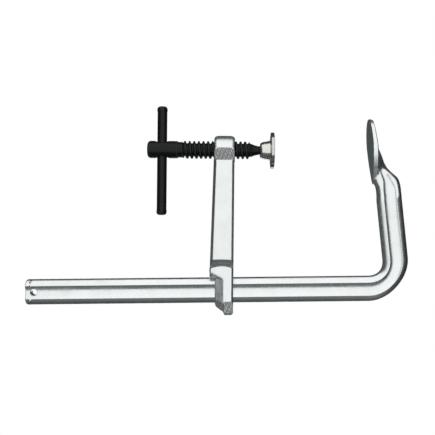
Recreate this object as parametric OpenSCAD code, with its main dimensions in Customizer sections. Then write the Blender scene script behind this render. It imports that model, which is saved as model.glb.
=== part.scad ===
// Sliding-arm bar clamp, all steel: a double-lobed rail bent up into a forged fixed jaw, a sliding arm
// that rocks and grips on the rail, a trapezoidal-thread spindle with a tommy bar, and a swivel pad.
// Millimetres. +X runs along the rail towards the fixed jaw, +Z from the rail towards the jaws, Y is the
// depth. The origin is the centre of the hanging hole at the free end of the rail.

/* [Rail] */
// Straight rail from the hanging hole to the start of the bend
rail_run = 288.3; // [200:0.1:500]
// Free end beyond the hanging hole
rail_tail = 7.1; // [6.5:0.1:12]
// Height of the rail section
rail_h = 22; // [20:0.1:24]
// Thickness across the two lobes
rail_t = 10.5; // [9.5:0.1:10.8]
// Thickness of the web between the two grooves
rail_web = 7.2; // [6.4:0.1:7.8]
// Hanging hole diameter
hole_d = 5.6; // [4:0.1:6]
// Width of the countersink round the hanging hole, each side
hole_sink = 0.4; // [0.3:0.1:0.8]
// Height of the stakes that keep the arm on the rail
stake_h = 0.7; // [0.6:0.1:1]

/* [Fixed jaw] */
// Mean radius of the bend
bend_r = 24; // [20:0.5:32]
// Lean of the fixed arm over the throat, degrees
jaw_lean = 5.2; // [2:0.1:8]
// Length of the lobed arm above the bend
jaw_run = 64; // [50:0.5:110]
// Length of the anvil face
anvil_l = 56; // [48:0.2:64]
// Width of the anvil face
anvil_w = 28; // [26:0.5:34]
// Thickness of the anvil plate
anvil_t = 5; // [4:0.1:7]

/* [Sliding arm] */
// Position of the arm on the rail, from the hanging hole
arm_x = 161.7; // [20:0.1:190]
// Slack lean of the arm on the rail, degrees
arm_lean = 1.17; // [0:0.01:1.5]
// Spindle axis above the rail axis
throat = 121; // [100:0.5:140]
// Thickness of the arm above the foot
arm_t = 15; // [13:0.1:17]
// Thickness of the foot across its cheeks
foot_t = 19.6; // [18.4:0.1:22]
// Outer diameter of the threaded eye
eye_d = 24.8; // [23:0.1:28]
// Length of the threaded eye along the spindle
eye_l = 17.8; // [15:0.1:19]
// Slack of the window above and below the rail, each side
window_slack = 0.55; // [0.5:0.05:1]
// Slack of the window on each side of the lobes
window_side = 0.4; // [0.3:0.05:0.6]

/* [Spindle] */
// Crest diameter of the thread
thread_d = 15.4; // [14.5:0.1:16]
// Root diameter of the thread
thread_root_d = 11.4; // [10.5:0.1:12]
// Pitch of the thread
thread_pitch = 4; // [3:0.5:5]
// Threaded length
thread_l = 58; // [40:1:80]
// Radial slack between the thread and the eye
thread_slack = 0.3; // [0.25:0.05:0.5]
// Hub diameter
hub_d = 15; // [14:0.1:15.2]
// Hub length
hub_l = 26.2; // [24:0.1:32]
// Radius of the ball at the end of the spindle
ball_r = 4.9; // [4.9:0.1:5]

/* [Tommy bar] */
// Bar diameter
bar_d = 8.4; // [7:0.1:8.6]
// Diameter of the swaged ends
bar_end_d = 9.4; // [9:0.1:10]
// Bar length
bar_l = 94; // [80:1:120]
// Rest position of the bar's middle above the spindle axis
bar_rest = -9.7; // [-26:0.1:26]
// Radial slack of the bar in the hub
bar_slack = 0.08; // [0.05:0.01:0.1]

/* [Pad] */
// Pad disc diameter
disc_d = 31.3; // [26:0.1:36]
// Pad disc thickness
disc_t = 3; // [3:0.1:5]
// Wire diameter of the ring that retains the ball
ring_wire = 1; // [0.9:0.1:1]

/* [Hidden] */
$fn = 72;

steel_bright = [0.80, 0.82, 0.83];
steel_black = [0.12, 0.13, 0.14];
nickel = [0.62, 0.63, 0.62];
zinc_cast = [0.72, 0.72, 0.68];

// Rail section: two round-nosed flanges, each ending in a crisp edge where a wide hollow groove starts.
lobe_r = rail_t / 2;
lobe_z = rail_h / 2 - lobe_r;
web_h = rail_web / 2;
edge_z = rail_h / 2 - 5.5;
groove_r = (edge_z * edge_z + (lobe_r - web_h) * (lobe_r - web_h)) / (2 * (lobe_r - web_h));
groove_y = web_h + groove_r;
groove_a = asin(edge_z / groove_r);
function arc(cx, cy, r, a0, a1, n) = [for (i = [0:n]) [cx + r * cos(a0 + (a1 - a0) * i / n), cy + r * sin(a0 + (a1 - a0) * i / n)]];
function tail(v) = [for (i = [1:len(v) - 1]) v[i]];
// Half of a flange from its edge to its nose: the flank slopes in 20 degrees from the edge, then rounds over.
function flank(i, n) = let (t = i / n, q = 1 - t)
    q * q * q * [lobe_r, edge_z] + 3 * q * q * t * [lobe_r - 0.89, edge_z + 2.44] + 3 * q * t * t * [3, rail_h / 2] + t * t * t * [0, rail_h / 2];
// x is the thickness, y is the height
function rail_section(n = 10) = concat(
    [for (i = [1:n]) flank(i, n)],
    [for (i = [n - 1:-1:0]) let (f = flank(i, n)) [-f[0], f[1]]],
    tail(arc(-groove_y, 0, groove_r, groove_a, -groove_a, 10)),
    [for (i = [1:n]) -flank(i, n)],
    [for (i = [n - 1:-1:0]) let (f = flank(i, n)) [f[0], -f[1]]],
    tail(arc(groove_y, 0, groove_r, 180 + groove_a, 180 - groove_a, 10)));

// Eye and spindle positions in the arm's own frame: u along the spindle, w up from the rail axis.
eye_left = -7.4;
eye_right = eye_left + eye_l;
hub_left = -65.1;
hub_right = hub_left + hub_l;
thread_left = -34.5;
thread_right = thread_left + thread_l;
hub_hole_u = -52.65;
ball_u = thread_right + 13.7;
nose_u = ball_u - 5.1;
disc_u = ball_u + 4;
cavity_r = ball_r + 1.4;
ring_off = ball_r + 0.05 + ring_wire / 2;
ring_du = 3;
ring_rho = sqrt(ring_off * ring_off - ring_du * ring_du);
mid_r = (thread_d + thread_root_d) / 4;
amp_r = (thread_d - thread_root_d) / 4;
arm_left_top = -7.85;
arm_left_foot = -10.5;
arm_right = 10.1;

module in_arm() {
    translate([arm_x, 0, 0]) rotate([0, arm_lean, 0]) children();
}

// A body of revolution along +X from a half profile of [x, radius] points.
module turned(points) {
    rotate([0, 90, 0]) rotate_extrude() polygon([for (p = points) [p[1], p[0]]]);
}

// A prism along Y, centred, from a profile of [x, z] points.
module slab(points, width) {
    rotate([90, 0, 0]) translate([0, 0, -width / 2]) linear_extrude(height = width) polygon(points);
}

// Half width of the anvil face along its length, from 0 at the root to 1 at the top.
function anvil_half(s) = let (peak = 0.594)
    s < peak ? pow(max(0, 1 - pow((peak - s) / peak, 1.3)), 1 / 1.3) : sqrt(max(0, 1 - pow((s - peak) / (1 - peak), 2)));
function anvil_outline(l, w) = let (n = 26, s = [for (i = [0:n]) (1 - cos(180 * i / n)) / 2])
    concat([for (i = [0:n]) [w / 2 * anvil_half(s[i]), l * s[i]]],
           [for (i = [1:n - 1]) [-w / 2 * anvil_half(s[n - i]), l * s[n - i]]]);

module rail_with_fixed_jaw() {
    cx = rail_run;
    ex = cx + bend_r * cos(jaw_lean);
    ez = bend_r + bend_r * sin(jaw_lean);
    hw = rail_h / 2;
    t0 = jaw_run;
    face_n = -13.3;
    color(steel_bright) difference() {
        union() {
            // straight rail with rounded end corners
            intersection() {
                translate([-rail_tail, 0, 0]) rotate([90, 0, 90]) linear_extrude(height = rail_run + rail_tail) polygon(rail_section());
                slab(concat([[rail_run + 1, -hw - 1], [rail_run + 1, hw + 1]],
                    [[-rail_tail + 2.4, hw + 1], [-rail_tail + 2.4, hw]],
                    tail(arc(-rail_tail + 2.4, hw - 2.4, 2.4, 90, 180, 4)),
                    arc(-rail_tail + 2.4, -hw + 2.4, 2.4, 180, 270, 4),
                    [[-rail_tail + 2.4, -hw - 1]]), rail_t + 4);
            }
            // bend
            translate([cx, 0, bend_r]) rotate([90, 0, 0]) rotate([0, 0, -90])
                rotate_extrude(angle = 90 + jaw_lean) translate([bend_r, 0]) polygon([for (p = rail_section()) [p[1], p[0]]]);
            // fixed arm, shoulder and anvil
            translate([ex, 0, ez]) rotate([0, -jaw_lean, 0]) {
                translate([0, 0, -0.5]) linear_extrude(height = t0 + 0.5) polygon([for (p = rail_section()) 0.997 * [p[1], p[0]]]);
                slab([[-hw, t0 - 0.5], [hw - 0.3, t0 - 0.5], [10.2, t0 + 1.5], [9.5, t0 + 4.1], [8.2, t0 + 6.2], [6.3, t0 + 8],
                    [2.7, t0 + 11.8], [0.2, t0 + 15.5], [-1.6, t0 + 19.2], [-3, t0 + 23.5], [-4.6, t0 + 29], [-6.2, t0 + 35],
                    [-9.2, t0 + 46], [-11.5, t0 + 46], [-12.6, t0 + 8], [-12.4, t0 - 0.5]], rail_t - 0.6);
                translate([face_n, 0, t0 + 1.3]) rotate([0, 2.2, 0]) rotate([90, 0, 90]) {
                    linear_extrude(height = anvil_t - 1.4) polygon(anvil_outline(anvil_l, anvil_w));
                    translate([0, 0.9, 0]) linear_extrude(height = anvil_t - 0.7) polygon(anvil_outline(anvil_l - 1.8, anvil_w - 1.6));
                    translate([0, 2, 0]) linear_extrude(height = anvil_t) polygon(anvil_outline(anvil_l - 4, anvil_w - 3.8));
                }
            }
            // stakes beside the hanging hole
            for (y = [-1, 1], z = [-1, 1])
                translate([-2.6, y * (lobe_r - 1.2 + stake_h - 0.02), z * (lobe_z + 0.4)]) sphere(r = 1.2);
        }
        rotate([90, 0, 0]) cylinder(h = rail_t + 4, r = hole_d / 2, center = true);
        for (s = [-1, 1])
            translate([0, s * (web_h - hole_sink), 0]) rotate([-90 * s, 0, 0]) {
                cylinder(h = hole_sink, r1 = hole_d / 2, r2 = hole_d / 2 + hole_sink);
                translate([0, 0, hole_sink]) cylinder(h = 3, r = hole_d / 2 + hole_sink);
            }
    }
}

module sliding_arm() {
    half_w = rail_h / 2 + window_slack;
    half_y = lobe_r + window_side;
    hb = arm_t / 2;
    hf = foot_t / 2;
    top = throat - 3;
    // seen from above: bevelled leading cheek, then the full-thickness rib with a chamfered trailing edge
    plan = [[-5.7, -half_y - 0.9], [1.85, -hf], [8.4, -hf], [arm_right, -hf + 1.6], [arm_right, hf - 1.6], [8.4, hf], [1.85, hf], [-5.7, half_y + 0.9]];
    brow = [[arm_left_foot, 18.9], [-8.4, 19.9], [-5, 20.8], [-1, 21.4], [3, 21.3], [6.4, 20.7], [8.6, 20], [arm_right, 19.3]];
    under = half_y + 0.75;
    color(steel_bright) in_arm() difference() {
        union() {
            // blade with chamfered flanks, hollowed on both faces just above the foot
            difference() {
                intersection() {
                    slab([[arm_left_foot, half_w - 0.2], [arm_left_foot, half_w + 2], [arm_left_top, 108.5], [arm_left_top + 0.3, top],
                        [arm_right, top], [arm_right, half_w - 0.2]], arm_t + 8);
                    translate([0, 0, half_w - 1]) linear_extrude(height = top - half_w + 2)
                        polygon([[-30, -hb], [arm_right - 2, -hb], [arm_right, -hb + 2], [arm_right, hb - 2], [arm_right - 2, hb], [-30, hb]]);
                    rotate([0, 1.56, 0]) translate([-10.8, 0, 0]) linear_extrude(height = 130)
                        polygon([[0, -hb + 2.4], [2.4, -hb - 0.01], [60, -hb - 0.01], [60, hb + 0.01], [2.4, hb + 0.01], [0, hb - 2.4]]);
                }
                for (s = [-1, 1])
                    rotate([90, 0, 90]) translate([0, 0, -14]) linear_extrude(height = 28)
                        polygon([[s * (hb + 0.4), 27.9], [s * hb, 26.9], [s * (hb - 2.2), 21.2], [s * (hb - 2.3), 16], [s * (hb + 0.4), 16]]);
            }
            // foot: the rib and the bevelled cheeks round the rail
            intersection() {
                translate([0, 0, -25]) linear_extrude(height = 42) polygon(plan);
                slab([[-5.7, -12.7], [1.75, -18.5], [2.6, -20.9], [8.6, -20.9], [arm_right, -19.2], [arm_right, 17], [-5.7, 17]], foot_t + 4);
                rotate([90, 0, 90]) translate([0, 0, -12]) linear_extrude(height = 30)
                    polygon([[-hf, 18], [hf, 18], [hf, -8.6], [hf - 2.9, -18.9], [hf - 3.8, -21], [-hf + 3.8, -21], [-hf + 2.9, -18.9], [-hf, -8.6]]);
            }
            // head of the foot above the rail: full thickness, cut off along a slant, with a bevel below the slant
            intersection() {
                slab(concat(brow, [[arm_right, 4], [2.6, 4], [-7.6, 11.4], [arm_left_foot + 0.3, 12.6]]), foot_t);
                translate([1.85, 0, 9.4]) rotate([0, 27.5, 0]) rotate([90, 0, 90]) translate([0, 0, -20]) linear_extrude(height = 40)
                    polygon([[-hf, 1.7], [-hf + 0.4, 0], [-under, -1.5], [-under, -4], [under, -4], [under, -1.5], [hf - 0.4, 0], [hf, 1.7], [hf, 32], [-hf, 32]]);
                translate([0, 0, 2]) linear_extrude(height = 20)
                    polygon([[arm_left_foot, -hf + 1.2], [arm_left_foot + 1.2, -hf], [8.4, -hf], [arm_right, -hf + 1.6], [arm_right, hf - 1.6], [8.4, hf], [arm_left_foot + 1.2, hf], [arm_left_foot, hf - 1.2]]);
            }
            // underside of the head, sloping in to the top of the rail
            rotate([90, 0, 90]) translate([0, 0, arm_left_foot + 0.3]) linear_extrude(height = 12)
                polygon([[-under, half_w - 0.2], [-hf + 0.6, 14.6], [hf - 0.6, 14.6], [under, half_w - 0.2]]);
            // eye
            difference() {
                translate([0, 0, throat]) turned(concat([[eye_left, 0], [eye_left, eye_d / 2 - 2.2], [eye_left + 0.8, eye_d / 2 - 0.9], [eye_left + 2.4, eye_d / 2 - 0.15], [eye_left + 4.5, eye_d / 2]],
                    [[eye_right - 4.5, eye_d / 2], [eye_right - 2.4, eye_d / 2 - 0.15], [eye_right - 0.8, eye_d / 2 - 0.9], [eye_right, eye_d / 2 - 2.2], [eye_right, 0]]));
                // the eye's faces slope in to the blade below the bore
                for (s = [-1, 1])
                    rotate([90, 0, 90]) translate([0, 0, eye_left - 1]) linear_extrude(height = eye_l + 2)
                        polygon([[s * (eye_d / 2 + 0.6), throat + 3.3], [s * (hb - 0.2), throat - 9.45], [s * (hb - 0.2), throat - 14], [s * (eye_d / 2 + 3), throat - 14], [s * (eye_d / 2 + 3), throat + 3.3]]);
            }
        }
        // window for the rail
        translate([-30, -half_y, -half_w]) cube([60, 2 * half_y, 2 * half_w]);
        // bore of the eye, with its mouths opened out
        translate([eye_left - 5, 0, throat]) rotate([0, 90, 0]) cylinder(h = eye_l + 10, r = thread_d / 2 + thread_slack);
        for (m = [0, 1])
            translate([m == 0 ? eye_left : eye_right, 0, throat]) rotate([0, m == 0 ? 90 : -90, 0])
                translate([0, 0, -0.5]) cylinder(h = 1.5, r1 = thread_d / 2 + thread_slack + 1.5, r2 = thread_d / 2 + thread_slack);
    }
}

// Radius of the thread round one turn: flat crest and root joined by sloping flanks.
function thread_r(a) = mid_r + amp_r * min(1, max(-1, 1.45 * cos(a)));

module spindle() {
    color(steel_black) in_arm() translate([0, 0, throat]) difference() {
        union() {
            turned([[hub_left, 0], [hub_left, hub_d / 2 - 2], [hub_left + 0.6, hub_d / 2 - 0.8], [hub_left + 2, hub_d / 2],
                [hub_right - 1.2, hub_d / 2], [hub_right, hub_d / 2 - 0.75], [thread_left - 0.4, hub_d / 2 - 0.75], [thread_left + 0.6, thread_root_d / 2 - 0.1],
                [thread_left + 0.6, 0]]);
            translate([thread_left, 0, 0]) rotate([0, 90, 0])
                linear_extrude(height = thread_l, twist = -360 * thread_l / thread_pitch, slices = round(10 * thread_l / thread_pitch), $fn = 0)
                    polygon([for (i = [0:17]) let (a = 20 * i + 7) [thread_r(a) * cos(a), thread_r(a) * sin(a)]]);
            turned([[thread_right - 0.6, 0], [thread_right - 0.6, thread_root_d / 2 - 0.1], [thread_right - 0.1, 6.1], [thread_right + 1.3, 5.55], [thread_right + 3, 4.85],
                [thread_right + 4.7, 4.35], [thread_right + 6.4, 3.95], [thread_right + 8.2, 3.65], [ball_u - 2.6, 3.6], [ball_u - 2.6, 0]]);
            translate([ball_u, 0, 0]) sphere(r = ball_r);
        }
        translate([hub_hole_u, 0, 0]) cylinder(h = 30, r = bar_d / 2 + bar_slack, center = true);
        for (m = [0, 1])
            translate([hub_hole_u, 0, 0]) rotate([m * 180, 0, 0]) translate([0, 0, hub_d / 2 - 2])
                cylinder(h = 4, r1 = bar_d / 2 + bar_slack, r2 = bar_d / 2 + bar_slack + 3);
    }
}

module tommy_bar() {
    h = bar_l / 2;
    r = bar_d / 2;
    e = bar_end_d / 2;
    color(steel_black) in_arm() translate([hub_hole_u, 0, throat + bar_rest]) rotate([0, -90, 0])
        turned([[-h + 0.9, 0], [-h, 0.9], [-h, e - 2], [-h + 0.35, e - 1], [-h + 1.2, e - 0.25], [-h + 2.2, e], [-h + 3, e - 0.1], [-h + 4.6, r],
            [h - 4.6, r], [h - 3, e - 0.1], [h - 2.2, e], [h - 1.2, e - 0.25], [h - 0.35, e - 1], [h, e - 2], [h, 0.9], [h - 0.9, 0]]);
}

module pad_retaining_ring() {
    color(steel_bright) in_arm() translate([ball_u - ring_du, 0, throat]) rotate([0, 90, 0])
        rotate_extrude() translate([ring_rho, 0]) circle(r = ring_wire / 2, $fn = 32);
}

module pad_socket() {
    color(zinc_cast) in_arm() translate([0, 0, throat]) difference() {
        turned([[nose_u, 0], [nose_u, 5.5], [nose_u + 0.3, 6.2], [nose_u + 1, 6.8], [nose_u + 2, 7.25], [nose_u + 3.1, 7.55], [nose_u + 4.8, 7.8],
            [nose_u + 6.5, 8.15], [nose_u + 8.2, 8.5], [disc_u - 0.3, 8.5], [disc_u - 0.3, 0]]);
        translate([ball_u, 0, 0]) sphere(r = cavity_r);
        translate([nose_u - 1, 0, 0]) rotate([0, 90, 0]) cylinder(h = 4, r = 4.8);
        translate([disc_u - 0.8, 0, 0]) rotate([0, 90, 0]) cylinder(h = 4, r = 7);
    }
}

module pad_disc() {
    color(nickel) in_arm() translate([0, 0, throat]) difference() {
        turned([[disc_u - 0.8, 0], [disc_u - 0.8, 6.98], [disc_u, 6.98], [disc_u, disc_d / 2 - 0.8], [disc_u + 0.25, disc_d / 2 - 0.25], [disc_u + 0.8, disc_d / 2],
            [disc_u + disc_t - 0.8, disc_d / 2], [disc_u + disc_t - 0.25, disc_d / 2 - 0.25], [disc_u + disc_t, disc_d / 2 - 0.8], [disc_u + disc_t, 0]]);
        translate([ball_u, 0, 0]) sphere(r = ball_r + 0.05);
    }
}

rail_with_fixed_jaw();
sliding_arm();
spindle();
tommy_bar();
pad_retaining_ring();
pad_socket();
pad_disc();
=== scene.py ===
import math
import bpy
import bmesh
import numpy as np
from mathutils import Matrix, Vector


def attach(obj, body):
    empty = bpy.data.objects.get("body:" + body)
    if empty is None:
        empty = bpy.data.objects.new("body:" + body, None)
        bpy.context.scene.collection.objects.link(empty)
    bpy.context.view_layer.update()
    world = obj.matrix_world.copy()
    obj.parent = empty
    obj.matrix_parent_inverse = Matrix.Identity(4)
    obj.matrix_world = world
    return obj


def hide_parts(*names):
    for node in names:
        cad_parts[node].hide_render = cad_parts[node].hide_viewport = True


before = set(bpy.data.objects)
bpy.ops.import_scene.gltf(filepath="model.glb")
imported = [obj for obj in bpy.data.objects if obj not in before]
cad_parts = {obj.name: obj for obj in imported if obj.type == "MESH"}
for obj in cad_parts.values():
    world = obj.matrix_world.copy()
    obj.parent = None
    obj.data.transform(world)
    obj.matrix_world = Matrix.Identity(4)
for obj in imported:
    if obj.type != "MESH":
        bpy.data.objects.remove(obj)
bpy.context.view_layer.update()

scene = bpy.context.scene
MM = 0.001

# ---------------------------------------------------------------- dimensions, millimetres, the CAD frame
RAIL_RUN, RAIL_TAIL, RAIL_H, RAIL_T, RAIL_WEB = 288.3, 7.1, 22.0, 10.5, 7.2
BEND_R, LEAN = 24.0, math.radians(5.2)
JAW_RUN, ANVIL_L, ANVIL_W, ANVIL_T = 64.0, 56.0, 28.0, 5.0
ARM_X, ARM_LEAN, THROAT = 161.7, math.radians(1.17), 121.0
PITCH, THREAD_L, THREAD_R = 4.0, -34.5, 23.5
BALL_U = THREAD_R + 13.7
NOSE_U, DISC_U, DISC_T = BALL_U - 5.1, BALL_U + 4.0, 3.0
HUB_L, HUB_R, HOLE_U = -65.1, -38.9, -52.65
CA, SA = math.cos(ARM_LEAN), math.sin(ARM_LEAN)


def arm_to_row(p):
    """Points (u, y, w) in the sliding arm's frame to the row frame, mm."""
    p = np.asarray(p, float)
    q = np.empty_like(p)
    q[..., 0] = ARM_X + p[..., 0] * CA + p[..., 2] * SA
    q[..., 1] = p[..., 1]
    q[..., 2] = -p[..., 0] * SA + p[..., 2] * CA
    return q


def sstep(a, b, x):
    t = np.clip((np.asarray(x, float) - a) / (b - a), 0, 1)
    return t * t * (3 - 2 * t)


# ---------------------------------------------------------------- node helpers
def new_mat(name):
    m = bpy.data.materials.new(name)
    m.use_nodes = True
    nt = m.node_tree
    nt.nodes.clear()
    out = nt.nodes.new("ShaderNodeOutputMaterial")
    bsdf = nt.nodes.new("ShaderNodeBsdfPrincipled")
    nt.links.new(bsdf.outputs[0], out.inputs[0])
    return m, nt, bsdf


class Tree:
    def __init__(self, nt):
        self.nt = nt

    def node(self, kind, **kw):
        n = self.nt.nodes.new(kind)
        for k, v in kw.items():
            setattr(n, k, v)
        return n

    def link(self, a, b):
        self.nt.links.new(a, b)

    def coords(self, scale=(1, 1, 1), attr=None, rot=(0, 0, 0)):
        """Object coordinates, or a stored flow attribute, in mm, then scaled."""
        mp = self.node("ShaderNodeMapping")
        if attr:
            a = self.node("ShaderNodeAttribute", attribute_name=attr)
            self.link(a.outputs["Vector"], mp.inputs[0])
            k = 1.0
        else:
            a = self.node("ShaderNodeTexCoord")
            self.link(a.outputs["Object"], mp.inputs[0])
            k = 1000.0
        mp.inputs["Scale"].default_value = [k * s for s in scale]
        mp.inputs["Rotation"].default_value = rot
        return mp.outputs[0]

    def noise(self, vec, scale, detail=3.0, rough=0.5, dist=0.0):
        n = self.node("ShaderNodeTexNoise")
        n.inputs["Scale"].default_value = scale
        n.inputs["Detail"].default_value = detail
        n.inputs["Roughness"].default_value = rough
        n.inputs["Distortion"].default_value = dist
        self.link(vec, n.inputs["Vector"])
        return n.outputs["Fac"]

    def ramp(self, fac, stops):
        r = self.node("ShaderNodeValToRGB")
        el = r.color_ramp.elements
        while len(el) < len(stops):
            el.new(0.5)
        for e, (pos, c) in zip(el, stops):
            e.position = pos
            e.color = (c, c, c, 1) if not isinstance(c, (tuple, list)) else (*c, 1)
        self.link(fac, r.inputs[0])
        return r.outputs[0]

    def math(self, op, a, b=None, clamp=False):
        n = self.node("ShaderNodeMath", operation=op)
        n.use_clamp = clamp
        for i, v in enumerate((a, b)):
            if v is None:
                continue
            if isinstance(v, (int, float)):
                n.inputs[i].default_value = v
            else:
                self.link(v, n.inputs[i])
        return n.outputs[0]

    def span(self, fac, lo, hi, f0=0.0, f1=1.0):
        n = self.node("ShaderNodeMapRange")
        n.inputs["From Min"].default_value = f0
        n.inputs["From Max"].default_value = f1
        n.inputs["To Min"].default_value = lo
        n.inputs["To Max"].default_value = hi
        self.link(fac, n.inputs["Value"])
        return n.outputs[0]

    def mix(self, fac, a, b, kind="MIX"):
        n = self.node("ShaderNodeMix", data_type="RGBA", blend_type=kind)
        if isinstance(fac, (int, float)):
            n.inputs[0].default_value = fac
        else:
            self.link(fac, n.inputs[0])
        for sock, v in ((n.inputs[6], a), (n.inputs[7], b)):
            if isinstance(v, (tuple, list)):
                sock.default_value = (*v, 1)
            else:
                self.link(v, sock)
        return n.outputs[2]

    def bump(self, height, strength, distance_mm, below=None):
        b = self.node("ShaderNodeBump")
        b.inputs["Strength"].default_value = strength
        b.inputs["Distance"].default_value = distance_mm * MM
        self.link(height, b.inputs["Height"])
        if below is not None:
            self.link(below, b.inputs["Normal"])
        return b.outputs[0]


def bright_steel(name, attr=None, base=(0.80, 0.825, 0.83), rough=(0.20, 0.34), grain=0.35, lines=True, forged=0.0, painted_shade_band=None):
    """Bright-plated steel: fine grain, drawing lines or forging scale, scuffs, a little grey in the pores."""
    m, nt, b = new_mat(name)
    t = Tree(nt)
    b.inputs["Metallic"].default_value = 1.0
    p = t.coords()
    flow = t.coords(attr=attr) if attr else p
    cloud = t.noise(p, 0.055, 4, 0.6)
    fine = t.noise(p, 1.6, 5, 0.65)
    speck = t.noise(p, 4.5, 3, 0.6)
    # colour: slightly darker, warmer clouds and tiny grey pores
    pores = t.ramp(speck, [(0.0, 0.0), (0.30, 0.0), (0.38, 1.0), (1.0, 1.0)])
    tone = t.mix(t.span(cloud, 0.0, 0.8), base, tuple(c * k for c, k in zip(base, (0.93, 0.915, 0.89))))
    tone = t.mix(t.span(pores, 0.30, 0.0), tone, (0.36, 0.36, 0.35))
    if lines:
        if attr:
            lv = t.coords(scale=(0.012, 2.4, 2.4), attr=attr)
        else:
            lv = t.coords(scale=(2.4, 2.4, 0.012))
        line = t.noise(lv, 1.0, 4, 0.7)
    else:
        line = fine
    painted_shade_mask = None
    if painted_shade_band:
        # painted shade: a stored band mask over the hollow above the foot darkens the colour to a deep grey and raises
        # the roughness, so the hollow reads darker than its shape alone makes it
        painted_shade_mask = t.node("ShaderNodeAttribute", attribute_name=painted_shade_band).outputs["Fac"]
        painted_shade_mask = t.math("MULTIPLY", painted_shade_mask, t.span(t.noise(p, 0.9, 4, 0.6), 0.86, 1.0, 0.3, 0.7), clamp=True)
        tone = t.mix(painted_shade_mask, tone, (0.205, 0.235, 0.232))
    t.link(tone, b.inputs["Base Color"])
    r = t.math("ADD", t.span(cloud, rough[0], rough[1], 0.3, 0.7), t.span(line, -0.035, 0.05, 0.3, 0.7))
    if painted_shade_mask:
        r = t.math("ADD", r, t.math("MULTIPLY", painted_shade_mask, 0.16))
    r = t.math("ADD", r, t.span(pores, 0.12, 0.0))
    t.link(r, b.inputs["Roughness"])
    n = None
    if forged:
        lump = t.noise(p, 0.16, 4, 0.55)
        n = t.bump(lump, forged, 0.9)
        dent = t.noise(p, 0.62, 3, 0.5)
        n = t.bump(dent, forged * 0.6, 0.22, n)
    if lines:
        n = t.bump(line, 0.25, 0.03, n)
    n = t.bump(fine, grain, 0.035, n)
    t.link(n, b.inputs["Normal"])
    return m


def black_oxide(name, wear=0.5, base=(0.0032, 0.0040, 0.0043)):
    """Oiled black oxide on steel: deep grey, semi-gloss, rubbed a little bare on the proud edges."""
    m, nt, b = new_mat(name)
    t = Tree(nt)
    p = t.coords()
    cloud = t.noise(p, 0.12, 4, 0.6)
    fine = t.noise(p, 2.2, 5, 0.65)
    geo = t.node("ShaderNodeNewGeometry")
    edge = t.ramp(geo.outputs["Pointiness"], [(0.0, 0.0), (0.515, 0.0), (0.56, 1.0), (1.0, 1.0)])
    rub = t.math("MULTIPLY", edge, t.ramp(fine, [(0.0, 0.0), (0.42, 0.0), (0.62, 1.0), (1.0, 1.0)]))
    rub = t.math("MULTIPLY", rub, wear)
    tone = t.mix(t.span(cloud, 0.0, 1.0), base, tuple(c * 1.7 for c in base))
    tone = t.mix(rub, tone, (0.30, 0.30, 0.295))
    t.link(tone, b.inputs["Base Color"])
    t.link(t.math("MULTIPLY", rub, 0.8), b.inputs["Metallic"])
    r = t.math("ADD", t.span(cloud, 0.27, 0.38, 0.3, 0.7), t.span(fine, -0.05, 0.07, 0.3, 0.7))
    t.link(r, b.inputs["Roughness"])
    b.inputs["Specular IOR Level"].default_value = 0.22
    n = t.bump(fine, 0.30, 0.03)
    n = t.bump(t.noise(p, 0.5, 3, 0.5), 0.20, 0.12, n)
    t.link(n, b.inputs["Normal"])
    return m


def cast_zinc(name):
    m, nt, b = new_mat(name)
    t = Tree(nt)
    b.inputs["Metallic"].default_value = 1.0
    p = t.coords()
    cloud = t.noise(p, 0.25, 4, 0.6)
    fine = t.noise(p, 3.0, 5, 0.65)
    t.link(t.mix(t.span(cloud, 0.0, 1.0), (0.74, 0.735, 0.67), (0.60, 0.60, 0.56)), b.inputs["Base Color"])
    t.link(t.math("ADD", t.span(cloud, 0.13, 0.21, 0.3, 0.7), t.span(fine, -0.03, 0.05, 0.3, 0.7)), b.inputs["Roughness"])
    t.link(t.bump(fine, 0.35, 0.03), b.inputs["Normal"])
    return m


def nickel(name):
    m, nt, b = new_mat(name)
    t = Tree(nt)
    b.inputs["Metallic"].default_value = 1.0
    p = t.coords()
    cloud = t.noise(p, 0.3, 4, 0.6)
    fine = t.noise(p, 2.6, 4, 0.65)
    t.link(t.mix(t.span(cloud, 0.0, 1.0), (0.60, 0.605, 0.60), (0.50, 0.50, 0.485)), b.inputs["Base Color"])
    t.link(t.math("ADD", t.span(cloud, 0.10, 0.18, 0.3, 0.7), t.span(fine, -0.02, 0.05, 0.3, 0.7)), b.inputs["Roughness"])
    t.link(t.bump(fine, 0.16, 0.02), b.inputs["Normal"])
    return m


M_RAIL = bright_steel("bright_steel_rail", attr="flow")
# the forging's material paints shade, a darker grey, into the hollow band above the foot from a stored band mask
M_ARM = bright_steel("bright_steel_forging", lines=False, forged=0.22, rough=(0.25, 0.38), grain=0.5, painted_shade_band="painted_shade_band")
M_SPINDLE = black_oxide("black_oxide_spindle", wear=0.55)
M_BAR = black_oxide("black_oxide_bar", wear=0.35, base=(0.0042, 0.0054, 0.0058))
M_ZINC = cast_zinc("zinc_casting")
M_NICKEL = nickel("nickel_plate")
M_SPRING = bright_steel("spring_wire", base=(0.5, 0.5, 0.5), lines=False)


# ---------------------------------------------------------------- mesh helpers
def make(name, verts, faces, mat, body=None, node=None, flow=None):
    me = bpy.data.meshes.new(name)
    me.from_pydata((np.asarray(verts, float) * MM).tolist(), [], faces)
    if flow is not None:
        at = me.attributes.new("flow", "FLOAT_VECTOR", "POINT")
        at.data.foreach_set("vector", np.asarray(flow, float).ravel())
    me.validate()
    o = bpy.data.objects.new(name, me)
    scene.collection.objects.link(o)
    me.materials.append(mat)
    fix_normals(o)
    smooth(o)
    if body:
        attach(o, body)
        if node:
            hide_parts(node)
    return o


def fix_normals(o):
    bm = bmesh.new()
    bm.from_mesh(o.data)
    bmesh.ops.recalc_face_normals(bm, faces=bm.faces)
    bm.to_mesh(o.data)
    bm.free()
    o.data.update()


def smooth(o):
    o.data.polygons.foreach_set("use_smooth", np.ones(len(o.data.polygons), bool))
    o.data.update()


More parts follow.
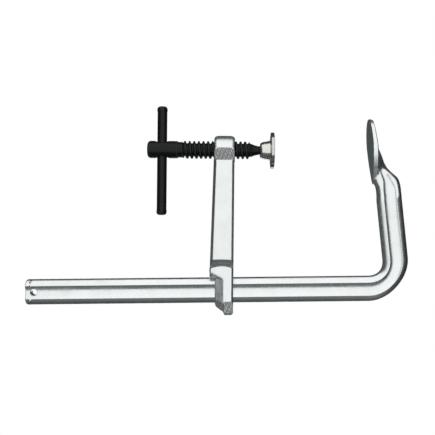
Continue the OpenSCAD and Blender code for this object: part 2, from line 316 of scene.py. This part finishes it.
def sharp_by_angle(o, deg):
    bm = bmesh.new()
    bm.from_mesh(o.data)
    lim = math.radians(deg)
    for e in bm.edges:
        e.smooth = not (len(e.link_faces) == 2 and e.calc_face_angle(0) > lim)
    bm.to_mesh(o.data)
    bm.free()
    o.data.update()


def bake_modifiers(o):
    """Turns the object's modifiers into its mesh."""
    dg = bpy.context.evaluated_depsgraph_get()
    dg.update()
    me = bpy.data.meshes.new_from_object(o.evaluated_get(dg), preserve_all_data_layers=True, depsgraph=dg)
    o.modifiers.clear()
    old = o.data
    o.data = me
    me.name = old.name
    bpy.data.meshes.remove(old)
    return o


def cut(o, cutter, keep_attr=True):
    md = o.modifiers.new("cut", "BOOLEAN")
    md.operation = "DIFFERENCE"
    md.solver = "EXACT"
    md.object = cutter
    bake_modifiers(o)
    bpy.data.objects.remove(cutter)
    return o


def temp(name, verts, faces):
    me = bpy.data.meshes.new(name)
    me.from_pydata((np.asarray(verts, float) * MM).tolist(), [], faces)
    o = bpy.data.objects.new(name, me)
    scene.collection.objects.link(o)
    fix_normals(o)
    return o


def grid_faces(S, N, closed_ring=True):
    f = []
    for i in range(S - 1):
        for j in range(N if closed_ring else N - 1):
            k = (j + 1) % N
            f.append((i * N + j, i * N + k, (i + 1) * N + k, (i + 1) * N + j))
    return f


def lathe(profile, seg=96, wobble=None):
    """Rings round the spindle axis in the arm's frame from (u, radius) points. A radius of 0 closes an end."""
    verts, faces, rings = [], [], []
    th = np.arange(seg) * 2 * math.pi / seg
    for u, r in profile:
        if r <= 1e-6:
            rings.append([len(verts)])
            verts.append((u, 0.0, THROAT))
            continue
        rr = r * np.ones(seg) if wobble is None else wobble(u, r, th)
        rings.append(list(range(len(verts), len(verts) + seg)))
        verts += list(zip([u] * seg, rr * np.cos(th), THROAT + rr * np.sin(th)))
    for a, b in zip(rings[:-1], rings[1:]):
        if len(a) == 1 and len(b) == 1:
            continue
        for j in range(seg):
            k = (j + 1) % seg
            if len(a) == 1:
                faces.append((a[0], b[k], b[j]))
            elif len(b) == 1:
                faces.append((a[j], a[k], b[0]))
            else:
                faces.append((a[j], a[k], b[k], b[j]))
    return np.array(verts), faces


def rounded(points, r, n=5):
    """A polyline of (u, r) points with its inner corners rounded by radius r (a number, or one per point)."""
    pts = [np.array(p, float) for p in points]
    out = [pts[0]]
    for i in range(1, len(pts) - 1):
        ri = r[i] if isinstance(r, (list, tuple)) else r
        a, b, c = pts[i - 1], pts[i], pts[i + 1]
        d0, d1 = a - b, c - b
        l0, l1 = np.linalg.norm(d0), np.linalg.norm(d1)
        if ri <= 0 or l0 < 1e-6 or l1 < 1e-6:
            out.append(b)
            continue
        d0, d1 = d0 / l0, d1 / l1
        ang = math.acos(max(-1, min(1, float(d0 @ d1))))
        if ang > math.radians(176):
            out.append(b)
            continue
        cutl = min(ri / math.tan(ang / 2), 0.48 * l0, 0.48 * l1)
        p0, p1 = b + d0 * cutl, b + d1 * cutl
        for k in range(n + 1):
            s = k / n
            out.append((1 - s) ** 2 * p0 + 2 * s * (1 - s) * b + s * s * p1)
    out.append(pts[-1])
    return [tuple(p) for p in out]


# ---------------------------------------------------------------- rail and fixed jaw, one forging
HALF = 104  # segments of half a ring
lobe_r, lobe_z, web = RAIL_T / 2, RAIL_H / 2 - RAIL_T / 2, RAIL_WEB / 2
edge_z, edge_y = RAIL_H / 2 - 5.5, lobe_r
groove_r = (edge_z ** 2 + (edge_y - web) ** 2) / (2 * (edge_y - web))
groove_y = web + groove_r
groove_a = math.asin(edge_z / groove_r)


def curve(t, xs, ys):
    """Smooth curve through the points (xs, ys), flat outside them."""
    xs, ys = np.asarray(xs, float), np.asarray(ys, float)
    t = float(min(max(t, xs[0]), xs[-1]))
    d = np.diff(ys) / np.diff(xs)
    m = np.concatenate([[0.0], np.where(d[:-1] * d[1:] > 0, 2 * d[:-1] * d[1:] / (d[:-1] + d[1:] + 1e-12), 0.0), [0.0]])
    i = int(min(max(np.searchsorted(xs, t) - 1, 0), len(d) - 1))
    h = xs[i + 1] - xs[i]
    q = (t - xs[i]) / h
    return float(ys[i] * (2 * q ** 3 - 3 * q ** 2 + 1) + ys[i + 1] * (3 * q ** 2 - 2 * q ** 3) + h * (m[i] * (q ** 3 - 2 * q ** 2 + q) + m[i + 1] * (q ** 3 - q ** 2)))


def lobed_half(n=500):
    """Half of the rail's section, y >= 0, from n = +11 (outer edge) to n = -11, as (n, y)."""
    q = np.linspace(1, 0, n)[:, None]
    t = 1 - q
    hw = RAIL_H / 2
    # a flange's flank slopes in 20 degrees from the groove's edge, then rounds over into the nose
    top = t ** 3 * [edge_z, edge_y] + 3 * t ** 2 * q * [edge_z + 2.44, edge_y - 0.89] + 3 * t * q ** 2 * [hw, 3.0] + q ** 3 * [hw, 0.0]
    b = np.linspace(groove_a, -groove_a, n)
    mid = np.stack([groove_r * np.sin(b), groove_y - groove_r * np.cos(b)], 1)
    low = top[::-1] * [-1, 1]
    p = even(np.concatenate([top, mid[1:-1], low]), 2400)
    # break the two edges of the groove, about 0.4 mm across
    k = 17
    q = np.concatenate([p[k:0:-1] * [1, -1], p, p[-2:-k - 2:-1] * [1, -1]])
    w = np.hanning(2 * k + 3)[1:-1]
    w /= w.sum()
    return np.stack([np.convolve(q[:, i], w, "valid") for i in range(2)], 1)


def even(p, m):
    """m + 1 points evenly spaced along the polyline p."""
    d = np.concatenate([[0], np.cumsum(np.linalg.norm(np.diff(p, axis=0), axis=1))])
    t = np.linspace(0, d[-1], m + 1)
    return np.stack([np.interp(t, d, p[:, k]) for k in range(p.shape[1])], 1)


def split_even(p, centre_n):
    """Evenly spaced points with one kept level with the centre, so that rings line up."""
    k = int(np.argmin(np.abs(p[:, 0] - centre_n) - 1e-3 * p[:, 1]))
    k = max(2, min(len(p) - 3, k))
    a, b = even(p[:k + 1], HALF // 2), even(p[k:], HALF // 2)
    return np.concatenate([a, b[1:]])


def anvil_half(s):
    s = np.clip(s, 0, 1)
    pk = 0.594
    lo = np.power(np.maximum(0, 1 - np.power(np.abs(pk - s) / pk, 1.3)), 1 / 1.3)
    hi = np.sqrt(np.maximum(0, 1 - np.square((s - pk) / (1 - pk))))
    return np.where(s < pk, lo, hi)


OUT_T = np.array([0, 50, 57.4, 62.0, 64.5, 66.8, 68.8, 71.0, 73.2, 75.8, 79.5, 83.1, 87, 92, 99, 107, 112, 125])
OUT_N = np.array([11, 11, 10.98, 10.8, 10.45, 9.9, 9.0, 7.2, 5.1, 2.9, 0.4, -1.0, -1.9, -3.2, -5.7, -8.1, -9.0, -11.0])


def face_n(t):
    return -13.3 + (t - 65.3) * math.tan(math.radians(2.2))


def sd_box(px, py, cx, hx, hy, r):
    qx, qy = np.abs(px - cx) - (hx - r), np.abs(py) - (hy - r)
    return np.hypot(np.maximum(qx, 0), np.maximum(qy, 0)) + np.minimum(np.maximum(qx, qy), 0) - r


def smin(a, b, k):
    h = np.clip(0.5 + 0.5 * (b - a) / k, 0, 1)
    return b * (1 - h) + a * h - k * h * (1 - h)


def neck_half(t):
    """Half section (n, y) through the shoulder and the anvil at height t up the fixed arm."""
    top = 65.3 + ANVIL_L
    s = (t - 65.3) / ANVIL_L
    n_hi = curve(t, OUT_T, OUT_N)
    f = face_n(t)
    th = ANVIL_T - 1.5 * float(sstep(0.4, 1.0, s))
    if t > top - 2.2:
        th *= 0.5 + 0.5 * math.sqrt(max(0.02, 1 - ((t - (top - 2.2)) / 2.2) ** 2))
    W = float(anvil_half(s)) * ANVIL_W / 2 if s > 0 else 0.0
    n_lo = -11.0 + 0.55 * float(sstep(46, 58, t)) + (f + 0.6 + 10.45) * float(sstep(60, 70, t))
    c = float(np.interp(t, [50, 58, 70, 80, 200], [0.0, 0.0, -9.3, -10.2, 0.0]))
    if t > 80:
        c = f + th / 2
    ang = np.linspace(0, math.pi, 1201)
    dn, dy = np.cos(ang), np.sin(ang)
    hi = max(n_hi, f + 1.5)
    cx, hx = (hi + n_lo) / 2, max((hi - n_lo) / 2, 0.8)
    wr = curve(t, [50, 66, 76, 86, 96, 106], [lobe_r, 5.2, 5.0, 4.6, 4.0, 3.0])
    roof = float(sstep(72.5, 81, t))
    rr_rib = min(wr * 0.985, hx * 0.98)
    # the groove narrows, turns in towards the anvil and runs out behind it
    gh = curve(t, [50, 59, 66.6, 73.7, 80, 86], [edge_z, edge_z, 4.0, 2.9, 1.9, 1.2])
    gd = curve(t, [50, 59, 66.6, 73.7, 80, 86], [edge_y - web, edge_y - web, 1.35, 0.95, 0.5, 0.0])
    gc = curve(t, [50, 59, 66.6, 73.7, 80, 86], [0.2, 0.2, -0.7, -3.2, -5.4, -6.8])

    def field(r):
        pn, py = c + r * dn, r * dy
        rib = sd_box(pn, py, cx, hx, wr, rr_rib)
        if gd > 0.02:
            gr = (gh * gh + gd * gd) / (2 * gd)
            lip = wr
            rib = -smin(-rib, -(gr - np.hypot(pn - gc, py - (lip - gd + gr))), 0.25)
        if roof > 0 and W > 0.3:
            # above the shoulder the back is a low roof from the rim of the plate to its ridge
            an, ay = f + th - 1.9, W - 1.0
            rb = 1.15
            bn = max(n_hi - rb, an + 0.3)
            ln = math.hypot(ay, bn - an)
            d = ((pn - an) * ay + (py - ay) * (bn - an)) / ln - 1.0
            d = np.maximum(np.maximum(d, (bn - an) * 0 + pn - max(n_hi, f + th)), np.maximum(py - W + 0.4, f + 1 - pn))
            rib = rib * (1 - roof) + d * roof
        if W > 0.3:
            rr = min(1.3, th / 2 - 0.05, W * 0.95)
            plate = sd_box(pn, py, f + th / 2, th / 2, W, rr)
            return smin(rib, plate, 1.3)
        return rib

    lo, hi = np.zeros_like(ang), np.full_like(ang, 40.0)
    # march outward for the first crossing, then bisect
    r = np.zeros_like(ang)
    step = 0.25
    found = np.zeros(len(ang), bool)
    while not found.all() and r.max() < 40:
        r2 = np.where(found, r, r + step)
        v = field(r2)
        hit = (v > 0) & ~found
        hi = np.where(hit, r2, hi)
        lo = np.where(hit, r, lo)
        found |= hit
        r = r2
    for _ in range(24):
        mid = (lo + hi) / 2
        v = field(mid)
        lo = np.where(v <= 0, mid, lo)
        hi = np.where(v > 0, mid, hi)
    r = (lo + hi) / 2
    return np.stack([c + r * dn, r * dy], 1), c


rings, flows = [], []


def add_ring(half, C, T, N, s):
    """half: (HALF+1, 2) points (n, y) from the outer edge to the inner edge."""
    h = np.asarray(half)
    full = np.concatenate([h, np.stack([h[-2:0:-1, 0], -h[-2:0:-1, 1]], 1)])
    P = np.zeros((len(full), 3))
    P[:, 0] = C[0] + N[0] * full[:, 0]
    P[:, 1] = full[:, 1]
    P[:, 2] = C[1] + N[1] * full[:, 0]
    rings.append(P)
    flows.append(np.stack([np.full(len(full), s), full[:, 1], full[:, 0]], 1))


base_half = split_even(lobed_half(), 0.0)
# straight rail; the free end has rounded corners and a broken edge
xs = list(-RAIL_TAIL + np.array([0, 0.05, 0.15, 0.3, 0.5, 0.8, 1.2, 1.6, 2.0, 2.4]))
xs += list(np.arange(-4.8, 6.01, 0.3)) + list(np.linspace(7, RAIL_RUN, 90))
for x in xs:
    h = base_half.copy()
    e = x + RAIL_TAIL
    inset = 0.55 * (1 - math.sqrt(max(0, 1 - (max(0, 0.55 - e) / 0.55) ** 2)))
    if inset > 0:
        d = np.gradient(h, axis=0)
        nrm = np.stack([-d[:, 1], d[:, 0]], 1)
        nrm /= np.linalg.norm(nrm, axis=1)[:, None] + 1e-9
        nrm *= np.sign((nrm * (h - [0, 0])).sum(1))[:, None]
        h = h - nrm * inset
        h[0, 1] = h[-1, 1] = 0
    rc = 2.0
    if e < rc:
        lim = RAIL_H / 2 - rc + math.sqrt(max(0, rc * rc - (rc - e) ** 2))
        k = np.abs(h[:, 0]) > lim - 2.5
        z = np.abs(h[k, 0])
        h[k, 0] = np.sign(h[k, 0]) * np.minimum(z, lim - 2.5 + (z - lim + 2.5) * 2.5 / (2.5 + RAIL_H / 2 - lim))
    # n points away from the jaws, so it is -Z on the straight rail
    add_ring(h, (x, 0.0), (1, 0), (0, -1), x)
# bend: a touch thinner and thicker-walled at its middle, where the bar was drawn round
nb = 56
for i in range(1, nb + 1):
    q = i / nb
    phi = -math.pi / 2 + q * (math.pi / 2 + LEAN)
    w = math.sin(math.pi * q) ** 2
    r_in, r_out = 13 + 0.76 * w, 35 - 1.24 * w
    h = base_half.copy()
    h[:, 0] = (r_in - BEND_R) + (h[:, 0] + 11) / 22 * (r_out - r_in)
    h[:, 1] *= 1 + 0.03 * w
    h[0, 1] = h[-1, 1] = 0
    rad = (math.cos(phi), math.sin(phi))
    add_ring(h, (RAIL_RUN + BEND_R * rad[0], BEND_R + BEND_R * rad[1]), None, rad, RAIL_RUN + 24 * (phi + math.pi / 2))
E = (RAIL_RUN + BEND_R * math.cos(LEAN), BEND_R + BEND_R * math.sin(LEAN))
Tn, Nn = (-math.sin(LEAN), math.cos(LEAN)), (math.cos(LEAN), math.sin(LEAN))
s0 = RAIL_RUN + 24 * (math.pi / 2 + LEAN)
top_t = 65.3 + ANVIL_L
ts = list(np.linspace(2, 48, 20)) + list(np.arange(50, 90, 0.5)) + list(np.arange(90, top_t - 5, 0.9))
k = len(ts)
ts += list(top_t - 5 * (1 - np.sin(np.linspace(0, math.pi / 2, 18))))[1:]
for t in ts:
    t = min(t, top_t - 0.004)
    if t < 50:
        h = base_half
    else:
        p, c = neck_half(t)
        if t < 54:
            mixk = float(sstep(50, 54, t))
            a = split_even(p, c)
            b = split_even(lobed_half(), c)
            h = b * (1 - mixk) + a * mixk
        else:
            h = split_even(p, c)
        h[0, 1] = h[-1, 1] = 0
    add_ring(h, (E[0] + Tn[0] * t, E[1] + Tn[1] * t), Tn, Nn, s0 + t)

R = np.array(rings)
F = np.array(flows)
S, N = R.shape[:2]
faces = grid_faces(S, N)
for base in (0, (S - 1) * N):  # end caps, strips from side to side
    for j in range(HALF):
        a, b = base + j, base + j + 1
        c, d = base + (N - j - 1) % N if j + 1 < HALF else base + HALF, base + (N - j) % N
        quad = [a, b, c, d]
        quad = [v for i, v in enumerate(quad) if v not in quad[:i]]
        if len(quad) >= 3:
            faces.append(tuple(quad))

# stakes: a punched pit with a raised burr, beside the hanging hole on both faces
V = R.reshape(-1, 3).copy()
for (x, z, rr) in ((-2.3, 8.7, 0.72), (-2.0, 5.6, 0.6), (-2.9, -6.6, 0.72)):
    for sgn in (-1, 1):
        d = np.hypot(V[:, 0] - x, V[:, 2] - z)
        on = (np.sign(V[:, 1]) == sgn) & (d < 3 * rr)
        hgt = 0.34 * np.exp(-((d[on] - 1.15 * rr) / (0.45 * rr)) ** 2) - 0.5 * np.exp(-(d[on] / (0.6 * rr)) ** 2)
        V[on, 1] += sgn * hgt

rail = make("rail_body", V, faces, M_RAIL, flow=F.reshape(-1, 3))
# hanging hole with countersinks
n = 72
th = np.arange(n) * 2 * math.pi / n
prof = [(-12, 3.26), (-3.62, 3.2), (-3.2, 2.81), (3.2, 2.81), (3.62, 3.2), (12, 3.26)]
prof = rounded(prof, 0.25, 4)
cv, cf = [], []
for y, r in prof:
    cv += [(r * math.cos(a), y, r * math.sin(a)) for a in th]
cf = grid_faces(len(prof), n) + [tuple(range(n)), tuple(range((len(prof) - 1) * n, len(prof) * n))]
cut(rail, temp("cut_hole", cv, cf))
sharp_by_angle(rail, 32)
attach(rail, "rail")
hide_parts("rail_with_fixed_jaw")


# ---------------------------------------------------------------- sliding arm: forged, so every edge is soft
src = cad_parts["sliding_arm"]
me = src.data.copy()
me.name = "sliding_arm_forging"
arm = bpy.data.objects.new("sliding_arm_forging", me)
scene.collection.objects.link(arm)
me.materials.clear()
md = arm.modifiers.new("vox", "REMESH")
md.mode = "VOXEL"
md.voxel_size = 0.00036
md.use_smooth_shade = True
sm = arm.modifiers.new("soft", "SMOOTH")
sm.factor = 0.5
sm.iterations = 7
bake_modifiers(arm)
# the lower facet of each bevelled cheek, turned in under the rail
V = np.empty(len(arm.data.vertices) * 3)
arm.data.vertices.foreach_get("co", V)
V = V.reshape(-1, 3) / MM
au = (V[:, 0] - ARM_X) * CA - V[:, 2] * SA
aw = (V[:, 0] - ARM_X) * SA + V[:, 2] * CA
ay = np.abs(V[:, 1])
line = -7.0 - (au + 5.7) / 7.55 * 3.0
shift = 0.19 * np.maximum(0, line - aw) * (1 - sstep(1.5, 2.1, au))
ok = (ay > 5.85) & (shift > 0)
ay[ok] = np.maximum(ay[ok] - shift[ok], 5.85)
# flash and shear marks left on the eye's sloping faces and on the toe of the foot
mark = 0.12 * np.sin(2.4 * au + 0.2 * aw + 0.7) * np.sin(0.85 * aw + 0.6 * au) + 0.05 * np.sin(5.3 * au + 2.0 + 0.1 * aw)
eye = sstep(111.5, 113.5, aw) * (1 - sstep(120.5, 122.5, aw)) * sstep(6.8, 7.6, ay) * (1 - sstep(7.0, 9.0, np.abs(au - 1.5)))
toe = (1 - sstep(-12.5, -9.5, aw)) * sstep(5.9, 6.4, ay) * sstep(1.6, 2.6, au) * (1 - sstep(7.4, 8.6, au))
ay += mark * (eye + 1.6 * toe)
V[:, 1] = np.sign(V[:, 1]) * ay
# a band over the hollow between the brow and the arc above the foot, kept as a point attribute; the arm's material
# paints shade there (a darker grey, rougher)
brow = np.interp(au, [-10.5, -8.4, -5.0, -1.0, 3.0, 6.4, 8.6, 10.1], [18.9, 19.9, 20.8, 21.4, 21.3, 20.7, 20.0, 19.3])
arc = 26.9 - 0.9 * (np.abs(au) / 10.0) ** 2
painted_shade_hollow = sstep(-0.9, 0.1, aw - brow) * (1 - sstep(-0.2, 0.5, aw - arc)) * (1 - sstep(7.6, 8.4, ay)) * sstep(3.8, 4.6, ay)
at = arm.data.attributes.new("painted_shade_band", "FLOAT", "POINT")
at.data.foreach_set("value", painted_shade_hollow.astype(np.float32))
arm.data.vertices.foreach_set("co", (V * MM).ravel())
arm.data.update()
arm.data.materials.clear()
arm.data.materials.append(M_ARM)
smooth(arm)
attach(arm, "arm")
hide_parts("sliding_arm")


# ---------------------------------------------------------------- spindle
SEG = 96
hub = [(HUB_L, 0), (HUB_L, 5.2), (HUB_L + 0.25, 5.9), (HUB_L + 0.8, 6.7), (HUB_L + 1.6, 7.25), (HUB_L + 2.6, 7.5)]
hub += [(u, 7.5) for u in np.arange(HUB_L + 3.6, HUB_R - 1.0, 0.8)]
hub += [(HUB_R - 0.9, 7.5), (HUB_R - 0.45, 7.4), (HUB_R - 0.15, 7.15), (HUB_R, 6.85), (HUB_R + 0.35, 6.75), (HUB_R + 1.5, 6.75), (THREAD_L - 1.0, 6.75)]
us = [p[0] for p in hub]
rs = [p[1] for p in hub]
tu = np.arange(THREAD_L - 0.8, THREAD_R + 0.01, 0.2)
tip = rounded([(THREAD_R + 0.2, 5.9), (THREAD_R + 1.3, 5.5), (THREAD_R + 3, 4.8), (THREAD_R + 4.7, 4.3), (THREAD_R + 6.4, 3.9), (THREAD_R + 8.2, 3.62), (BALL_U - 3.45, 3.55)], 1.0, 2)
ballp = [(BALL_U + 4.9 * math.sin(a), 4.9 * math.cos(a)) for a in np.linspace(-math.acos(3.55 / 4.9) + 0.02, math.pi / 2, 24)]
ballp[-1] = (BALL_U + 4.9, 0)
th = np.arange(SEG) * 2 * math.pi / SEG
CREST_U = -13.9  # the crest's place along the axis at angle 0
ringv = []


def thread_ring(u):
    ph = (u - CREST_U) / PITCH - th / (2 * math.pi)
    f = 0.5 + 0.5 * np.tanh(2.3 * np.cos(2 * math.pi * ph)) / math.tanh(2.3)
    root, crest = 5.7, 7.7
    r = root + (crest - root) * f
    a = float(sstep(THREAD_L - 0.8, THREAD_L + 1.0, u))
    r = 6.75 * (1 - a) + r * a
    lim = 6.1 + max(0.0, (THREAD_R - u)) * 1.15
    return np.minimum(r, lim)


allr = [(u, None if r is None else r) for u, r in zip(us, rs)]
seq = [("c", u, r) for u, r in zip(us, rs)] + [("t", u, 0) for u in tu] + [("c", u, r) for u, r in tip] + [("c", u, r) for u, r in ballp]
verts, ringidx = [], []
for kind, u, r in seq:
    if kind == "c" and r <= 1e-6:
        ringidx.append([len(verts)])
        verts.append((u, 0, THROAT))
        continue
    rr = thread_ring(u) if kind == "t" else np.full(SEG, r)
    ringidx.append(list(range(len(verts), len(verts) + SEG)))
    verts += list(zip([u] * SEG, rr * np.cos(th), THROAT + rr * np.sin(th)))
faces = []
for a, b in zip(ringidx[:-1], ringidx[1:]):
    for j in range(SEG):
        k = (j + 1) % SEG
        if len(a) == 1:
            faces.append((a[0], b[k], b[j]))
        elif len(b) == 1:
            faces.append((a[j], a[k], b[0]))
        else:
            faces.append((a[j], a[k], b[k], b[j]))
spindle = make("spindle_screw", arm_to_row(verts), faces, M_SPINDLE)
# cross hole, with deeply opened mouths
prof = [(-16, 12), (-8.2, 6.8), (-6.2, 5.2), (-4.6, 4.32), (4.6, 4.32), (6.2, 5.2), (8.2, 6.8), (16, 12)]
prof = rounded(prof, 1.2, 5)
n = 96
tc = np.arange(n) * 2 * math.pi / n
cv = []
for w, r in prof:
    cv += [(HOLE_U + r * math.cos(a), r * math.sin(a), THROAT + w) for a in tc]
cf = grid_faces(len(prof), n) + [tuple(range(n)), tuple(range((len(prof) - 1) * n, len(prof) * n))]
cut(spindle, temp("cut_cross", arm_to_row(cv), cf))
sharp_by_angle(spindle, 38)
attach(spindle, "screw")
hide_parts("spindle")

# ---------------------------------------------------------------- tommy bar, ends swaged so it can't drop out
h, r = 47.0, 4.2
end = [(0.0, 0.0), (0.0, 2.0), (0.18, 2.8), (0.6, 3.6), (1.2, 4.05), (2.0, 4.36), (2.8, 4.5), (3.6, 4.46), (4.6, 4.27), (5.6, 4.21)]
prof = [(-h + a, b) for a, b in end] + [(z, r) for z in np.arange(-h + 8, h - 7.9, 2.0)] + [(h - a, b) for a, b in end[::-1]]
seg = 64
tb = np.arange(seg) * 2 * math.pi / seg
verts, ringidx = [], []
for z, rr in prof:
    if rr <= 1e-6:
        ringidx.append([len(verts)])
        verts.append((HOLE_U, 0, THROAT - 9.7 + z * 0.992))
        continue
    e = h - abs(z)
    # four punch dents swell the ends between them
    d = np.exp(-((e - 2.9) / 1.5) ** 2)
    q = rr * (1 - 0.055 * d * np.cos(2 * (tb - 0.6)) ** 8)
    ringidx.append(list(range(len(verts), len(verts) + seg)))
    verts += list(zip(HOLE_U + q * np.cos(tb), q * np.sin(tb), [THROAT - 9.7 + z] * seg))
faces = []
for a, b in zip(ringidx[:-1], ringidx[1:]):
    for j in range(seg):
        k = (j + 1) % seg
        if len(a) == 1:
            faces.append((a[0], b[k], b[j]))
        elif len(b) == 1:
            faces.append((a[j], a[k], b[0]))
        else:
            faces.append((a[j], a[k], b[k], b[j]))
make("tommy_bar_rod", arm_to_row(verts), faces, M_BAR, "handle", "tommy_bar")

# ---------------------------------------------------------------- swivel pad
bell = [(NOSE_U + 0.9, 4.85), (NOSE_U + 0.25, 4.95), (NOSE_U, 5.35), (NOSE_U + 0.12, 5.85), (NOSE_U + 0.55, 6.4), (NOSE_U + 1.1, 6.85), (NOSE_U + 2, 7.22),
        (NOSE_U + 3.1, 7.48), (NOSE_U + 4.2, 7.66), (NOSE_U + 5.4, 7.88), (NOSE_U + 6.6, 8.16), (NOSE_U + 7.6, 8.40), (NOSE_U + 8.4, 8.55), (DISC_U - 0.42, 8.55),
        (DISC_U - 0.30, 8.40), (DISC_U - 0.30, 7.0), (DISC_U - 0.8, 7.0), (DISC_U - 0.8, 5.45)]
cav = [(BALL_U + 6.3 * math.sin(a), 6.3 * math.cos(a)) for a in np.linspace(math.asin(3.15 / 6.3), -math.asin(4.02 / 6.3), 16)]
prof = bell + cav
prof = prof + [(NOSE_U + 0.9, 4.85)]
v, f = lathe(prof, 96)
bell_o = make("pad_socket_bell", arm_to_row(v), f, M_ZINC, "pad", "pad_socket")
disc = [(DISC_U - 0.8, 3.85), (DISC_U - 0.8, 6.8), (DISC_U - 0.65, 6.98), (DISC_U, 6.98), (DISC_U, 8.9)]
disc += [(DISC_U + 0.02, 12), (DISC_U + 0.05, 14.4)]
disc += rounded([(DISC_U + 0.08, 14.8), (DISC_U + 0.22, 15.65), (DISC_U + DISC_T - 0.12, 15.65), (DISC_U + DISC_T, 14.8)], 0.8, 6)
disc += [(DISC_U + DISC_T, 13.5), (DISC_U + DISC_T, 8), (DISC_U + DISC_T, 3), (DISC_U + DISC_T, 0)]
dish = [(BALL_U + 4.95 * math.cos(a), 4.95 * math.sin(a)) for a in np.linspace(0, math.asin(3.78 / 4.95), 12)]
dish[0] = (BALL_U + 4.95, 0)
v, f = lathe(dish + disc, 128)
disc_o = make("pad_disc_plate", arm_to_row(v), f, M_NICKEL, "pad", "pad_disc")
sharp_by_angle(disc_o, 40)
rho = math.sqrt(5.45 ** 2 - 9)
prof = [(BALL_U - 3 + 0.5 * math.cos(a), rho + 0.5 * math.sin(a)) for a in np.linspace(0, 2 * math.pi, 17)]
v, f = lathe(prof, 64)
make("pad_ring_wire", arm_to_row(v), f, M_SPRING, "ball_ring", "pad_retaining_ring")

# ---------------------------------------------------------------- floor, light, camera
w = scene.world or bpy.data.worlds.new("world")
scene.world = w
w.use_nodes = True
nt = w.node_tree
nt.nodes.clear()
out = nt.nodes.new("ShaderNodeOutputWorld")
mixs = nt.nodes.new("ShaderNodeMixShader")
lp = nt.nodes.new("ShaderNodeLightPath")
bg1, bg2 = nt.nodes.new("ShaderNodeBackground"), nt.nodes.new("ShaderNodeBackground")
bg1.inputs[0].default_value = (0.072, 0.082, 0.084, 1)
bg2.inputs[0].default_value = (1, 1, 1, 1)
tcw = nt.nodes.new("ShaderNodeTexCoord")
sep = nt.nodes.new("ShaderNodeSeparateXYZ")
nt.links.new(tcw.outputs["Generated"], sep.inputs[0])
mr = nt.nodes.new("ShaderNodeMapRange")
mr.inputs["From Min"].default_value, mr.inputs["From Max"].default_value = 0.55, 0.95
nt.links.new(sep.outputs["X"], mr.inputs["Value"])
mc = nt.nodes.new("ShaderNodeMix")
mc.data_type = "RGBA"
mc.inputs[6].default_value = (0.072, 0.082, 0.084, 1)
mc.inputs[7].default_value = (0.026, 0.028, 0.030, 1)
nt.links.new(mr.outputs[0], mc.inputs[0])
nt.links.new(mc.outputs[2], bg1.inputs[0])
nt.links.new(lp.outputs["Is Camera Ray"], mixs.inputs[0])
nt.links.new(bg1.outputs[0], mixs.inputs[1])
nt.links.new(bg2.outputs[0], mixs.inputs[2])
nt.links.new(mixs.outputs[0], out.inputs[0])

mf, ntf, bf = new_mat("floor_white")
ntf.nodes.remove(bf)
em = ntf.nodes.new("ShaderNodeEmission")
em.inputs["Color"].default_value = (1, 1, 1, 1)
em.inputs["Strength"].default_value = 1.0
ntf.links.new(em.outputs[0], ntf.nodes["Material Output"].inputs[0])
me = bpy.data.meshes.new("floor")
fy = 1.6
me.from_pydata([(-0.70, fy, -0.80), (1.04, fy, -0.80), (1.04, fy, 0.95), (-0.70, fy, 0.95)], [], [(0, 1, 2, 3)])
floor = bpy.data.objects.new("floor", me)
me.materials.append(mf)
scene.collection.objects.link(floor)
floor.visible_glossy = False
floor.visible_diffuse = False


def area(name, loc, target, size, power, sy=None, color=(1, 1, 1)):
    li = bpy.data.lights.new(name, "AREA")
    li.shape = "RECTANGLE"
    li.size, li.size_y = size, sy or size
    li.energy = power
    li.color = color
    o = bpy.data.objects.new(name, li)
    scene.collection.objects.link(o)
    o.location = loc
    o.rotation_mode = "QUATERNION"
    o.rotation_quaternion = (Vector(target) - Vector(loc)).to_track_quat("-Z", "Y")
    return o


mid = (0.17, 0.0, 0.06)
area("key_softbox", (0.17, -0.615, 0.972), mid, 1.85, 9.1, 1.43)
area("front_wall", (0.50, -1.25, -0.06), (0.50, 0.0, -0.06), 2.7, 11.8, 1.32)
area("low_bounce", (0.30, -0.75, -1.02), mid, 1.9, 0.34, 0.75)
behind = area("back_fill", (0.17, 1.10, -0.56), mid, 1.15, 2.3, 0.50)
behind.visible_camera = False

cam = bpy.data.cameras.new("camera")
co = bpy.data.objects.new("camera", cam)
scene.collection.objects.link(co)
cam.sensor_width = 36
cam.lens = 650.0 / 435.0 * 36.0
cam.shift_x, cam.shift_y = -16.05 / 435, -17.0 / 435
roll = math.radians(0.6)
right = Vector((math.cos(roll), 0, -math.sin(roll)))
up = Vector((math.sin(roll), 0, math.cos(roll)))
back = Vector((0, -1, 0))
rot = Matrix((right, up, back)).transposed()
co.matrix_world = Matrix.Translation((0.1729, -0.563, 0.0773)) @ rot.to_4x4()
cam.clip_start, cam.clip_end = 0.01, 20
scene.camera = co
scene.view_settings.view_transform = "Standard"
scene.view_settings.look = "None"
scene.view_settings.exposure = 0.0
scene.view_settings.gamma = 1.0
